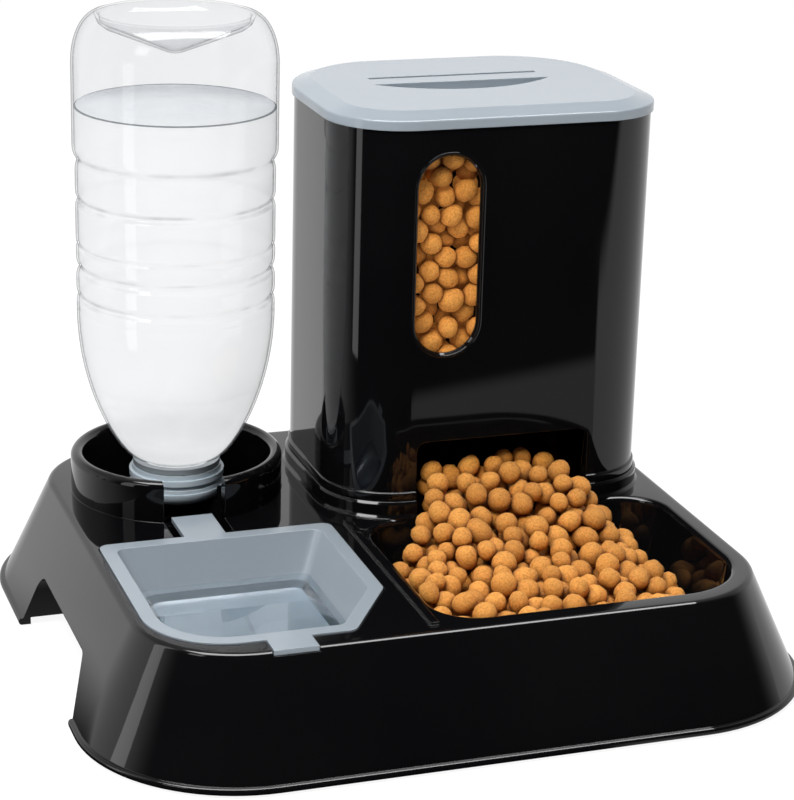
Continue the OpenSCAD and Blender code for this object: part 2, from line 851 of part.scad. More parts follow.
// Outer profile of the bottle, from the neck up to the rounded heel, moved in by e.
function shoulder_at(t) = neck_r + 2 + (bottle_r - waist_in - neck_r - 2) * pow(sin(90 * t), 0.62);
function wall_points(e) = concat(
    [for (i = [0:12]) let (t = i / 12)
        [shoulder_at(t) - e, neck_top + (shoulder_top - neck_top) * t]],
    [for (z = [shoulder_top + 1.5:1.5:heel_z]) [bottle_r - drawn_in(z) - e, z]],
    [for (a = [0:15:75]) [bottle_r - heel_in + (heel_in - e) * cos(a), heel_z + (heel_up - e) * sin(a)]]
);
// The base turned in: a narrow rim, a step down, and a blunt cone.
function punt_points(e) = [
    [punt_r + 1.5 + e, bottle_top - e], [punt_r + e, bottle_top - punt_step - e / 2],
    [punt_tip, bottle_top - punt_deep + 1 - e], [0, bottle_top - punt_deep - e]
];
module bottle() {
    e = bottle_wall;
    color(CLEAR) translate(bottle_xy) difference() {
        rotate_extrude() polygon(concat(
            [[0, mouth_z], [neck_r, mouth_z], [neck_r, neck_top - 1]],
            wall_points(0),
            punt_points(0)
        ));
        rotate_extrude() polygon(concat(
            [[0, mouth_z - past], [neck_r - neck_wall, mouth_z - past], [neck_r - neck_wall, neck_top]],
            wall_points(e),
            punt_points(e)
        ));
    }
}

module tamper_ring() {
    ring_z = cap_top + close_fit;
    color(GREY_BLUE) translate([bottle_xy[0], bottle_xy[1], ring_z]) difference() {
        cylinder(r = cap_r - 2, h = neck_top - 1 - ring_z - close_fit);
        translate([0, 0, -past]) cylinder(r = neck_r + 0.2, h = neck_top);
    }
}

// ---------------------------------------------------------------- valve

module at_bottle(z) {
    translate([bottle_xy[0], bottle_xy[1], z]) children();
}

module cap_solid() {
    soft = 7;
    rotate_extrude() union() {
        translate([0, cap_z]) square([cap_r - soft, soft]);
        translate([0, cap_z + soft]) square([cap_r - 1.4, cap_h - soft]);
        translate([cap_r - soft, cap_z + soft]) intersection() {
            circle(soft);
            translate([0, -soft]) square([soft, soft]);
        }
        translate([0, cap_top - 5.4]) square([cap_r, 3]);
        translate([0, cap_z + soft]) square([cap_r - 0.6, 2]);
    }
}

module valve_cap() {
    slot_w = 4;
    color(GREY_BLUE) translate(bottle_xy) difference() {
        cap_solid();
        difference() {
            translate([0, 0, seat_z]) cylinder(r = cap_bore - 3, h = cap_h);
            cylinder(r = tube_r + 2, h = tube_top);
        }
        translate([0, 0, gasket_z]) cylinder(r = cap_bore, h = cap_h);
        translate([0, 0, seat_z]) cylinder(r = tube_r, h = cap_h);
        translate([0, 0, cap_z - past]) cylinder(r = port_r, h = cap_h);
        for (a = [0:120:240]) {
            rotate(a) translate([0, -slot_w / 2, seat_z + 0.5]) cube([tube_r + 3, slot_w, 7]);
        }
    }
}

module cap_washer() {
    color(RUBBER) at_bottle(gasket_z) difference() {
        cylinder(r = cap_bore - close_fit, h = gasket_t);
        translate([0, 0, -past]) cylinder(r = neck_r - neck_wall, h = gasket_t + 2 * past);
    }
}

module valve_plunger() {
    color(GREY_BLUE) at_bottle(0) {
        translate([0, 0, tip_z]) cylinder(r = stem_r, h = tube_top + 4 - tip_z);
        translate([0, 0, head_z]) cylinder(r = head_r, h = head_t);
    }
}

module valve_seal() {
    color(RUBBER) at_bottle(head_z - seal_t) difference() {
        cylinder(r = head_r - 0.4, h = seal_t);
        translate([0, 0, -past]) cylinder(r = stem_r, h = seal_t + 2 * past);
    }
}

module spring_retainer() {
    color(GREY_BLUE) at_bottle(tube_top) difference() {
        cylinder(r = tube_r + 2, h = retainer_t);
        translate([0, 0, -past]) cylinder(r = stem_r + close_fit, h = retainer_t + 2 * past);
        for (a = [60:120:300]) {
            rotate(a) translate([tube_r - 1.2, 0, -past]) cylinder(r = 1.1, h = retainer_t + 2 * past);
        }
    }
}

// A helix of round wire between the plunger's head and the retainer, with closed ends.
module valve_spring() {
    sides = 6;
    steps = 16;
    rings = steps * spring_turns;
    r = (stem_r + head_r) / 2 + 0.3;
    low = head_z + head_t + spring_wire / 2;
    high = tube_top - spring_wire / 2;
    points = [
        for (i = [0:rings], k = [0:sides - 1])
            let (a = 360 * i / steps, b = 360 * k / sides, w = r + spring_wire / 2 * cos(b))
                [w * cos(a), w * sin(a), low + (high - low) * i / rings + spring_wire / 2 * sin(b)]
    ];
    walls = [
        for (i = [0:rings - 1], k = [0:sides - 1])
            let (n = (k + 1) % sides)
                [i * sides + k, (i + 1) * sides + k, (i + 1) * sides + n, i * sides + n]
    ];
    ends = [[for (k = [0:sides - 1]) k], [for (k = [sides - 1:-1:0]) rings * sides + k]];
    color(STEEL) at_bottle(0) polyhedron(points, concat(walls, ends));
}

base_tray();
foot(-1, -1);  // foot_front_left
foot(1, -1);  // foot_front_right
foot(-1, 1);  // foot_back_left
foot(1, 1);  // foot_back_right
feed_chute();
chute_screw(-1);  // chute_screw_left
chute_screw(1);  // chute_screw_right
bottle_cradle();
hopper_shell();
window_pane();
lid_cover();
water_dish();
bottle();
tamper_ring();
valve_cap();
cap_washer();
valve_plunger();
valve_seal();
valve_spring();
spring_retainer();
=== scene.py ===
"""Automatic pet feeder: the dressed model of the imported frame.

A black moulded tray carries a gravity food hopper, a food bowl, a lift-out water dish and an
upturned ribbed bottle. Shapes are built in millimetres, as in the part's source. Finished
meshes, finishes and the studio are in metres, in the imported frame.
"""

import json
import logging
import math
from dataclasses import dataclass, field
from enum import Enum
from typing import Callable, Sequence

import bpy
import numpy as np
from mathutils import Matrix, Vector

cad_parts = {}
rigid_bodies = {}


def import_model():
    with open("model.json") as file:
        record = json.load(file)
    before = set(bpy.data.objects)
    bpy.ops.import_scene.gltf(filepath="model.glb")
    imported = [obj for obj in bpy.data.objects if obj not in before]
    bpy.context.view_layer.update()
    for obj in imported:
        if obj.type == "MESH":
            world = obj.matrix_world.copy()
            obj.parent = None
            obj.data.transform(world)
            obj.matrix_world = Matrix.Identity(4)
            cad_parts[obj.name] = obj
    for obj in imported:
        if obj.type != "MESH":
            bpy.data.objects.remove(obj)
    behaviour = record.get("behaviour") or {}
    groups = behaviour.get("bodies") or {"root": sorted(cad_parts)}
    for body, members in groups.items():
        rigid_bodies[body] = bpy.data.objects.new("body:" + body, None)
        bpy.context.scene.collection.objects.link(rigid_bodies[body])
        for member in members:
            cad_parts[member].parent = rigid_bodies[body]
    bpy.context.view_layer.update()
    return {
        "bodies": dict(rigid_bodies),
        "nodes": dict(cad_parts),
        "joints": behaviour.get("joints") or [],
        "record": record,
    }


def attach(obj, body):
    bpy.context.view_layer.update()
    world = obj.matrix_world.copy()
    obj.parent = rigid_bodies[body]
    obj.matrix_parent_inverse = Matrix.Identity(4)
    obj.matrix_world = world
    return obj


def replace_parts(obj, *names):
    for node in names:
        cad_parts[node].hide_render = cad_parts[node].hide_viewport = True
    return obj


MM = 0.001
LOG = logging.getLogger("feeder")

Array = np.ndarray
Point = tuple[float, float]
Triple = tuple[float, float, float]
Socket = bpy.types.NodeSocket


class Shade(Enum):
    """How the faces of a mesh are shaded."""

    SMOOTH = "smooth"
    CREASED = "creased"


# ---------------------------------------------------------------- surfaces

CREASE_DEGREES = 35.0
LEAST_RADIUS = 0.05


def grid_faces(rows: int, cols: int, around: bool, along: bool = False) -> Array:
    """Quads of a grid of points, row after row.

    Args:
        rows: Number of rows of points.
        cols: Number of points in a row.
        around: Whether the last column joins the first.
        along: Whether the last row joins the first.

    Returns:
        One row of four point numbers for each quad.
    """
    i = np.arange(rows if along else rows - 1)[:, None]
    j = np.arange(cols if around else cols - 1)[None, :]
    i2, j2 = (i + 1) % rows, (j + 1) % cols
    quads = np.stack([i * cols + j, i * cols + j2, i2 * cols + j2, i2 * cols + j], axis=-1)
    return quads.reshape(-1, 4)


def new_piece(
    name: str, points: Array, faces: Sequence, shade: Shade = Shade.SMOOTH
) -> bpy.types.Object:
    """Makes a linked mesh object from points in millimetres.

    Args:
        name: The piece's name.
        points: One row of x, y, z for each point.
        faces: Point numbers of each face.
        shade: Whether edges sharper than CREASE_DEGREES stay sharp.

    Returns:
        The new object, at the origin.
    """
    mesh = bpy.data.meshes.new(name)
    rows = [tuple(int(k) for k in f) for f in faces]
    mesh.from_pydata((np.asarray(points, float) * MM).tolist(), [], rows)
    mesh.validate()
    mesh.shade_smooth()
    if shade is Shade.CREASED:
        mesh.set_sharp_from_angle(angle=math.radians(CREASE_DEGREES))
    piece = bpy.data.objects.new(name, mesh)
    bpy.context.scene.collection.objects.link(piece)
    return piece


def rounded_loop(
    corners: Sequence[Point], radii: Sequence[float], grow: float = 0.0, steps: int = 14
) -> Array:
    """A closed outline whose corners are arcs, pushed out by grow.

    Each corner's arc has its centre one radius in from both edges, and turns from the normal of
    the edge before it to the normal of the edge after it.

    Args:
        corners: The outline's corners, counter-clockwise.
        radii: One radius for each corner.
        grow: How far the outline is pushed out.
        steps: Points on each arc.

    Returns:
        Points of the outline, one row of x, y each.
    """
    pts = np.asarray(corners, float)
    rad = np.asarray(radii, float)
    along = np.roll(pts, -1, 0) - pts
    along /= np.linalg.norm(along, axis=1)[:, None]
    before = np.roll(along, 1, 0)
    cross = before[:, 0] * along[:, 1] - before[:, 1] * along[:, 0]
    turn = np.arctan2(cross, (before * along).sum(1))
    normal = np.stack([before[:, 1], -before[:, 0]], 1)
    centre = pts - before * (rad * np.tan(turn / 2))[:, None] - normal * rad[:, None]
    start = np.arctan2(normal[:, 1], normal[:, 0])[:, None]
    angle = start + turn[:, None] * np.linspace(0, 1, steps)[None, :]
    reach = np.maximum(rad + grow, LEAST_RADIUS)[:, None]
    ring = centre[:, None, :] + np.stack([np.cos(angle) * reach, np.sin(angle) * reach], -1)
    return ring.reshape(-1, 2)


def inset_corners(corners: Sequence[Point], depth: float) -> Array:
    """The outline moved in by depth on every side, with its corners still sharp."""
    pts = np.asarray(corners, float)
    along = np.roll(pts, -1, 0) - pts
    along /= np.linalg.norm(along, axis=1)[:, None]
    after = np.stack([along[:, 1], -along[:, 0]], 1)
    before = np.roll(after, 1, 0)
    return pts - depth * (before + after) / (1 + (before * after).sum(1))[:, None]


def revolved(profile: Array, centre: Point, turns: int = 128) -> tuple[Array, Array]:
    """A closed profile of radius and height, turned about an upright axis.

    A point is centre plus radius times the cosine and sine of the angle, at its height.

    Args:
        profile: Rows of radius and height, round a closed outline.
        centre: The axis in plan.
        turns: Steps round the axis.

    Returns:
        The points and the quads.
    """
    angle = np.linspace(0, 2 * np.pi, turns, endpoint=False)[None, :]
    radius, height = profile[:, :1], profile[:, 1:]
    points = np.stack([
        centre[0] + radius * np.cos(angle),
        centre[1] + radius * np.sin(angle),
        height + 0 * angle,
    ], -1)
    return points.reshape(-1, 3), grid_faces(len(profile), turns, True, True)


def lofted(loops: Sequence[Array], heights: Sequence[float]) -> tuple[Array, list]:
    """A solid through loops of equal count at rising heights, with a flat face at each end.

    Args:
        loops: Outlines in plan, from the lowest up.
        heights: One height for each outline.

    Returns:
        The points and the faces.
    """
    rows, cols = len(loops), len(loops[0])
    points = np.concatenate([
        np.column_stack([loop, np.full(cols, z)]) for loop, z in zip(loops, heights)
    ])
    faces = [list(q) for q in grid_faces(rows, cols, True)]
    faces.append(list(range(cols))[::-1])
    faces.append(list(range((rows - 1) * cols, rows * cols)))
    return points, faces


# ---------------------------------------------------------------- finishes

# Blend of the Layer Weight nodes.
EDGE_ON = 0.5

# Noise patterns: features for each metre, detail and roughness.
FLOW = (9.0, 3.0, 0.5)
WEAR = (60.0, 6.0, 0.6)
RIB_BREAKS = (45.0, 2.0, 0.5)
MOTTLE = (40.0, 3.0, 0.5)
CRUST = (1000.0, 5.0, 0.7)
SAND = (1100.0, 5.0, 0.75)
BRUSHED = (700.0, 4.0, 0.5)


class Nodes:
    """A node tree being filled, with short ways to add and combine its nodes."""

    def __init__(self, owner: bpy.types.Material | bpy.types.World) -> None:
        """Empties the owner's tree and keeps it."""
        owner.use_nodes = True
        self.tree = owner.node_tree
        self.tree.nodes.clear()

    def add(
        self, kind: str, inputs: dict[int | str, object] | None = None, **values: object
    ) -> bpy.types.Node:
        """Adds a node and sets its properties and inputs.

        Args:
            kind: The node's type, without its ShaderNode prefix.
            inputs: Its inputs by name or number, each a value or a socket to link.
            **values: Its properties, by name.

        Returns:
            The new node.
        """
        node = self.tree.nodes.new("ShaderNode" + kind)
        for key, value in values.items():
            setattr(node, key, value)
        for key, value in (inputs or {}).items():
            if isinstance(value, Socket):
                self.tree.links.new(value, node.inputs[key])
            else:
                node.inputs[key].default_value = value
        return node

    def place(self) -> Socket:
        """Object coordinates."""
        return self.add("TexCoord").outputs["Object"]

    def facing(self) -> Socket:
        """From 0 where the surface is seen square on to 1 where it is seen edge on."""
        return self.add("LayerWeight", {"Blend": EDGE_ON}).outputs["Facing"]

    def part(self, vector: Socket, axis: str) -> Socket:
        """The X, Y or Z of a vector."""
        return self.add("SeparateXYZ", {"Vector": vector}).outputs[axis]

    def noise(self, scale: float, detail: float = 2.0, rough: float = 0.5) -> Socket:
        """Noise on object coordinates, with features about one over scale metres wide."""
        mapping = self.add("Mapping", {"Vector": self.place(), "Scale": (scale,) * 3})
        return self.add("TexNoise", {
            "Vector": mapping.outputs["Vector"], "Scale": 1.0, "Detail": detail,
            "Roughness": rough,
        }).outputs["Fac"]

    def ramp(self, value: Socket, stops: Sequence[tuple[float, Sequence[float]]]) -> Socket:
        """Maps a value to a colour through stops of position and colour."""
        node = self.add("ValToRGB", {"Fac": value})
        ramp = node.color_ramp
        while len(ramp.elements) < len(stops):
            ramp.elements.new(0.5)
        for element, (at, colour) in zip(ramp.elements, stops):
            element.position = at
            element.color = (*colour, 1.0)
        return node.outputs["Color"]

    def rise(
        self, value: Socket, over: Point, to: Point = (0.0, 1.0), smooth: bool = False
    ) -> Socket:
        """Maps a value's range onto another range, and holds at its ends.

        Args:
            value: The value.
            over: The range it is taken over.
            to: What it becomes at the two ends of that range.
            smooth: Whether it eases in and out.

        Returns:
            The mapped value.
        """
        names = ("Value", "From Min", "From Max", "To Min", "To Max")
        kind = "SMOOTHSTEP" if smooth else "LINEAR"
        inputs = dict(zip(names, (value, *over, *to)))
        return self.add("MapRange", inputs, interpolation_type=kind).outputs["Result"]

    def span(self, value: Socket, low: float, high: float) -> Socket:
        """Maps 0 to 1 onto low to high."""
        return self.rise(value, (0.0, 1.0), (low, high))

    def maths(self, kind: str, *values: Socket) -> Socket:
        """One value worked out from one or two others."""
        return self.add("Math", dict(enumerate(values)), operation=kind).outputs[0]

    def product(self, first: Socket, second: Socket) -> Socket:
        """Two colours multiplied."""
        both = {0: 1.0, 6: first, 7: second}
        return self.add("Mix", both, data_type="RGBA", blend_type="MULTIPLY").outputs[2]

    def mixed(self, share: float | Socket, first: Socket, second: Socket) -> Socket:
        """Two shaders mixed, share being the second one's part."""
        return self.add("MixShader", {0: share, 1: first, 2: second}).outputs[0]

    def bump(self, height: Socket, strength: float, depth: float, **on: Socket) -> Socket:
        """A normal bumped by a height, depth in metres, on the one given or the plain one."""
        inputs = {"Strength": strength, "Distance": depth, "Height": height, **on}
        return self.add("Bump", inputs).outputs["Normal"]

    def finish(self, shader: Socket, kind: str = "OutputMaterial") -> None:
        """Links the shader to the surface."""
        self.add(kind, {"Surface": shader})


@dataclass(frozen=True)
class Moulded:
    """Injection-moulded plastic with a faint flow pattern and fine wear in its gloss."""

    name: str
    slot: str
    colour: Triple
    colour_far: Triple
    rough: Point
    grain: float = 900.0
    relief: float = 0.00002
    scatter: float = 0.0
    shine: float = 0.5
    ease: float = 0.0006
    reach: Triple = (0.004, 0.005, 0.006)

    def shade(self, nodes: Nodes) -> Socket:
        """Builds the shader."""
        eased = nodes.add("Bevel", {"Radius": self.ease}, samples=6).outputs["Normal"]
        inputs = {
            "Base Color": nodes.ramp(
                nodes.noise(*FLOW), [(0.3, self.colour), (0.7, self.colour_far)]
            ),
            "Roughness": nodes.span(nodes.noise(*WEAR), *self.rough),
            "IOR": 1.5,
            "Specular IOR Level": self.shine,
            "Normal": nodes.bump(nodes.noise(self.grain), 0.25, self.relief, Normal=eased),
        }
        if self.scatter:
            inputs |= {"Subsurface Weight": self.scatter, "Subsurface Radius": self.reach}
        return nodes.add("BsdfPrincipled", inputs).outputs["BSDF"]


@dataclass(frozen=True)
class Clear:
    """Clear plastic or water, with a little unevenness in its surface."""

    name: str
    slot: str
    colour: Triple
    ior: float
    rough: float
    relief: float
    ripple: float = 25.0
    clear: float = 1.0
    alpha: float = 1.0

    def shade(self, nodes: Nodes) -> Socket:
        """Builds the shader."""
        return nodes.add("BsdfPrincipled", {
            "Base Color": (*self.colour, 1.0), "Transmission Weight": self.clear,
            "IOR": self.ior, "Roughness": self.rough, "Alpha": self.alpha,
            "Normal": nodes.bump(nodes.noise(self.ripple), 0.3, self.relief),
        }).outputs["BSDF"]


@dataclass(frozen=True)
class SeeThrough:
    """Thin clear plastic or water: see-through where it is seen square on, greyer at its edges.

    Tint colours what is seen through it. The body's colour runs from middle to edge, and body
    holds its share at each of FACING_STOPS. Milk is the part of the body that diffuses light
    passing through, and glow the strength of a painted glow, light of its own with no lamp
    behind it. Shine is the share of the gloss over it all. Face holds the body's least and
    greatest share on faces that look up, ribs the lowest and highest place of the ribs, and low
    the heights the share falls between, in metres. Zeros leave each of these out.
    """

    name: str
    slot: str
    tint: Triple
    middle: Triple
    edge: Triple
    body: tuple[float, float, float, float]
    milk: float = 0.0
    glow: float = 0.0
    shine: float = 0.02
    rough: float = 0.1
    face: Point = (0.0, 0.0)
    ribs: Point = (0.0, 0.0)
    low: Point = (0.0, 0.0)

    FACING_STOPS = (0.0, 0.6, 0.8, 0.93)
    EDGE_STOPS = (0.8, 0.97)
    UPWARD = (0.97, 0.99)
    RIPPLE = 30.0
    RELIEF = 0.00004
    LEAN = (0.25, 0.55)
    RIB_SHARE = 0.6
    RIB_FACING = (0.06, 0.85)
    RIB_GAPS = (-1.1, 2.1)
    RIB_END = 0.001
    LOW_SHARE = 0.93

    def height(self, nodes: Nodes, low: float, high: float) -> Socket:
        """From 0 at height low to 1 at height high, both in metres."""
        return nodes.rise(nodes.part(nodes.place(), "Z"), (low, high))

    def upward(self, nodes: Nodes) -> Socket:
        """The upright part of the surface's normal."""
        return nodes.part(nodes.add("NewGeometry").outputs["Normal"], "Z")

    def ribbed(self, nodes: Nodes, share: Socket) -> Socket:
        """Raises the share on the ribs' sloping sides, in broken lines fading in the middle."""
        steep = nodes.maths("ABSOLUTE", self.upward(nodes))
        lean = nodes.rise(steep, self.LEAN, (0.0, self.RIB_SHARE))
        dark = nodes.maths("MULTIPLY", lean, nodes.span(nodes.facing(), *self.RIB_FACING))
        gaps = nodes.span(nodes.noise(*RIB_BREAKS), *self.RIB_GAPS)
        lines = nodes.maths("MULTIPLY", dark, gaps)
        above = self.height(nodes, self.ribs[0] - self.RIB_END, self.ribs[0])
        under = self.height(nodes, self.ribs[1] + self.RIB_END, self.ribs[1])
        inside = nodes.maths("MULTIPLY", nodes.maths("MULTIPLY", lines, above), under)
        return nodes.maths("MAXIMUM", share, inside)

    def thicker(self, nodes: Nodes, share: Socket) -> Socket:
        """Raises the share towards the bottom, where water is seen against the dark well."""
        thick = nodes.span(self.height(nodes, *self.low), self.LOW_SHARE, 0.0)
        return nodes.maths("MAXIMUM", share, thick)

    def faced(self, nodes: Nodes, share: Socket) -> Socket:
        """Gives faces that look up a mottled share of their own."""
        level = nodes.rise(self.upward(nodes), self.UPWARD)
        mottle = nodes.span(nodes.noise(*MOTTLE), *self.face)
        return nodes.add("Mix", {0: level, 2: share, 3: mottle}).outputs[0]

    def milky(self, nodes: Nodes, colour: Socket, surface: Socket) -> Socket:
        """Lets light through the body, diffused, and adds a faint painted glow in the body's
        colour.
        """
        through = nodes.add("BsdfTranslucent", {"Color": colour}).outputs[0]
        glow = nodes.add("Emission", {"Color": colour, "Strength": self.glow}).outputs[0]
        cloudy = nodes.mixed(self.milk, surface, through)
        return nodes.add("AddShader", {0: cloudy, 1: glow}).outputs[0]

    def shade(self, nodes: Nodes) -> Socket:
        """Builds the shader: see-through and body mixed by share, then a little gloss."""
        clear = nodes.add("BsdfTransparent", {"Color": (*self.tint, 1.0)}).outputs[0]
        uneven = nodes.bump(nodes.noise(self.RIPPLE), 0.3, self.RELIEF)
        gloss = nodes.add("BsdfGlossy", {"Roughness": self.rough, "Normal": uneven}).outputs[0]
        facing = nodes.facing()
        stops = [(at, (share,) * 3) for at, share in zip(self.FACING_STOPS, self.body)]
        share = nodes.ramp(facing, stops)
        colour = nodes.ramp(facing, list(zip(self.EDGE_STOPS, (self.middle, self.edge))))
        surface = nodes.add("BsdfDiffuse", {"Color": colour}).outputs[0]
        if self.milk:
            surface = self.milky(nodes, colour, surface)
        if self.ribs[1]:
            share = self.ribbed(nodes, share)
        if self.low[1]:
            share = self.thicker(nodes, share)
        if self.face[1]:
            share = self.faced(nodes, share)
        return nodes.mixed(self.shine, nodes.mixed(share, clear, surface), gloss)


@dataclass(frozen=True)
class Kibble:
    """Baked food with a sandy crust, painted shade in its hollows and, where glow is set, a
    painted glow.
    """

    name: str
    pale: Triple
    deep: Triple
    # Strength of a painted glow: light in the food's own colour, with no lamp behind it.
    glow: float = 0.0

    TONES = ((0.80, 0.76, 0.70), (1.08, 1.08, 1.08))
    # Painted shade in the hollows between lumps: how far the occlusion test reaches, the
    # shade's tint, and the occlusion values it fades over.
    HOLLOW_SHADE_REACH = 0.006
    HOLLOW_SHADE_TINT = (0.22, 0.13, 0.08)
    HOLLOW_SHADE_STOPS = (0.15, 0.78)
    SCATTER = (0.0025, 0.0012, 0.0005)

    def shade(self, nodes: Nodes) -> Socket:
        """Builds the shader."""
        crust = nodes.ramp(nodes.noise(*CRUST), [(0.34, self.deep), (0.56, self.pale)])
        tone = nodes.add("Attribute", attribute_name="tone")
        shade = nodes.ramp(tone.outputs["Fac"], list(zip((0.0, 1.0), self.TONES)))
        # Painted shade: the occlusion test darkens the crust in the hollows between the lumps
        # of one heap.
        reach = {"Distance": self.HOLLOW_SHADE_REACH}
        occlusion = nodes.add("AmbientOcclusion", reach, samples=6, only_local=True)
        stops = list(zip(self.HOLLOW_SHADE_STOPS, (self.HOLLOW_SHADE_TINT, (1.0, 1.0, 1.0))))
        crevice_shade = nodes.ramp(occlusion.outputs["AO"], stops)
        colour = nodes.product(nodes.product(crust, shade), crevice_shade)
        # The emission is a painted glow, as strong as glow.
        return nodes.add("BsdfPrincipled", {
            "Base Color": colour, "Emission Color": colour, "Emission Strength": self.glow,
            "Roughness": 0.75, "Specular IOR Level": 0.3,
            "Subsurface Weight": 0.05, "Subsurface Radius": self.SCATTER,
            "Normal": nodes.bump(nodes.noise(*SAND), 0.9, 0.0012),
        }).outputs["BSDF"]


@dataclass(frozen=True)
class Steel:
    """Plain stainless wire and screws."""

    name: str = "stainless"
    slot: str = "steel"
    colour: Triple = (0.62, 0.62, 0.64)
    rough: Point = (0.2, 0.4)

    def shade(self, nodes: Nodes) -> Socket:
        """Builds the shader."""
        return nodes.add("BsdfPrincipled", {
            "Base Color": (*self.colour, 1.0), "Metallic": 1.0,
            "Roughness": nodes.span(nodes.noise(*BRUSHED), *self.rough),
        }).outputs["BSDF"]


Finish = Moulded | Clear | SeeThrough | Kibble | Steel

GLOSS_BLACK = Moulded(
    "gloss_black", "black_plastic", (0.0025, 0.0025, 0.003), (0.004, 0.004, 0.0045),
    (0.02, 0.06), relief=0.000004, shine=0.38,
)
BLUE_GREY = Moulded(
    "blue_grey", "grey_plastic", (0.275, 0.315, 0.352), (0.29, 0.33, 0.368),
    (0.16, 0.22), grain=1400.0, relief=0.000006, scatter=0.06,
)
RING_GREY = Moulded(
    "ring_grey", "cap_plastic", (0.30, 0.335, 0.36), (0.33, 0.365, 0.39), (0.12, 0.2)
)
CAP_GREY = Moulded(
    "cap_grey", "cap_plastic", (0.50, 0.575, 0.63), (0.53, 0.605, 0.66), (0.16, 0.26),
    scatter=0.25,
)
PAD_BLACK = Moulded(
    "pad_rubber", "rubber", (0.02, 0.02, 0.02), (0.03, 0.03, 0.03), (0.6, 0.75),
    relief=0.0001,
)
SEAL_GREY = Moulded(
    "seal_rubber", "seal_rubber", (0.5, 0.51, 0.51), (0.56, 0.57, 0.57), (0.5, 0.6),
    relief=0.00006,
)
PANE_CLEAR = Clear(
    "pane_clear", "clear_plastic", (0.01, 0.01, 0.01), 1.3, 0.02, 0.00001,
    clear=0.0, alpha=0.05,
)
WATER = Clear(
    "water", "clear_plastic", (0.60, 0.64, 0.67), 1.333, 0.0, 0.00012, ripple=60.0
)
BOTTLE_CLEAR = SeeThrough(
    "bottle_clear", "bottle_plastic", tint=(0.98, 0.982, 0.985), middle=(0.42, 0.43, 0.44),
    edge=(0.10, 0.105, 0.11), body=(0.02, 0.04, 0.11, 0.5), ribs=(0.145, 0.232),
)
# The bottled water carries a painted glow that lightens it.
BOTTLED = SeeThrough(
    "bottled_water", "clear_plastic", tint=(0.935, 0.937, 0.94), middle=(0.97, 0.97, 0.97),
    edge=(0.6, 0.62, 0.63), body=(0.4, 0.4, 0.45, 0.7), milk=0.7, glow=0.3, shine=0.0,
    low=(0.085, 0.135),
)
WATER_TOP = SeeThrough(
    "water_top", "clear_plastic", tint=(0.95, 0.955, 0.96), middle=(0.5, 0.54, 0.575),
    edge=(0.24, 0.27, 0.30), body=(0.1, 0.16, 0.3, 0.5), rough=0.2, face=(0.12, 0.5),
)
WATER_LINE = SeeThrough(
    "water_line", "clear_plastic", tint=(0.7, 0.72, 0.74), middle=(0.08, 0.09, 0.1),
    edge=(0.05, 0.06, 0.07), body=(0.7, 0.7, 0.7, 0.7),
)
FOOD = Kibble("baked_food", (0.95, 0.43, 0.09), (0.66, 0.25, 0.042))
# The food behind the window: a copy of the food with slightly darker colours and a painted glow
# that lightens it inside the shaded hopper.
STORED_FOOD_PAINTED_GLOW = Kibble("stored_food_painted_glow", (0.92, 0.41, 0.09), (0.60, 0.22, 0.04), 0.19)
STEEL = Steel()


def coat(piece: bpy.types.Object, *finishes: Finish) -> None:
    """Gives a piece its finishes, each built the first time it is asked for."""
    piece.data.materials.clear()
    for finish in finishes:
        material = bpy.data.materials.get(finish.name)
        if material is None:
            material = bpy.data.materials.new(finish.name)
            nodes = Nodes(material)
            nodes.finish(finish.shade(nodes))
        piece.data.materials.append(material)


def dress(
    piece: bpy.types.Object, finish: Finish, body: str, *more: Finish
) -> bpy.types.Object:
    """Gives a piece its finishes and the body it rides on, and reports it.

    Args:
        piece: The object to dress.
        finish: The finish of its faces.
        body: The body that carries the piece.
        *more: Finishes of the faces that the caller then picks.

    Returns:
        The same object.
    """
    coat(piece, finish, *more)
    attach(piece, body)
    hasattr(finish, "slot")
    LOG.info("%s: %d faces, on %s", piece.name, len(piece.data.polygons), body)
    return piece


@dataclass
class Workshop:
    """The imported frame, and the ways to put finishes on its nodes."""

    frame: dict
    home: dict[str, str] = field(default_factory=dict)

    WELD_METRES = 0.000002

    def __post_init__(self) -> None:
        """Notes the body of each node."""
        for body, members in self.frame["record"]["behaviour"]["bodies"].items():
            self.home.update({node: body for node in members})

    def paint(self, node: str, finish: Finish) -> None:
        """Gives a node of the frame a finish, with its mesh as it is."""
        coat(self.frame["nodes"][node], finish)
        LOG.info("%s: finished in %s", node, finish.name)

    def skin(self, node: str, finish: Finish, crease: float = 30.0) -> bpy.types.Object:
        """Stands a smooth copy in for a node, with its doubles merged.

        Args:
            node: The node to copy.
            finish: The copy's finish.
            crease: Degrees from which an edge stays sharp.

        Returns:
            The copy.
        """
        source = self.frame["nodes"][node]
        piece = bpy.data.objects.new(node + "_skin", source.data.copy())
        bpy.context.scene.collection.objects.link(piece)
        weld = piece.modifiers.new("weld", "WELD")
        weld.merge_threshold = self.WELD_METRES
        graph = bpy.context.evaluated_depsgraph_get()
        mesh = bpy.data.meshes.new_from_object(piece.evaluated_get(graph))
        piece.modifiers.clear()
        piece.data = mesh
        mesh.name = piece.name
        if mesh.has_custom_normals:
            mesh.attributes.remove(mesh.attributes["custom_normal"])
        mesh.shade_smooth()
        mesh.set_sharp_from_angle(angle=math.radians(crease))
        dress(piece, finish, self.home[node])
        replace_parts(piece, node)
        return piece


# ---------------------------------------------------------------- food

Surface = Callable[[Array, Array], Array]
Room = Callable[[Array, Array, Array], Array]


def level(z: float) -> Surface:
    """A flat surface at height z, as a function of x and y."""
    return lambda x, y: z + 0 * x


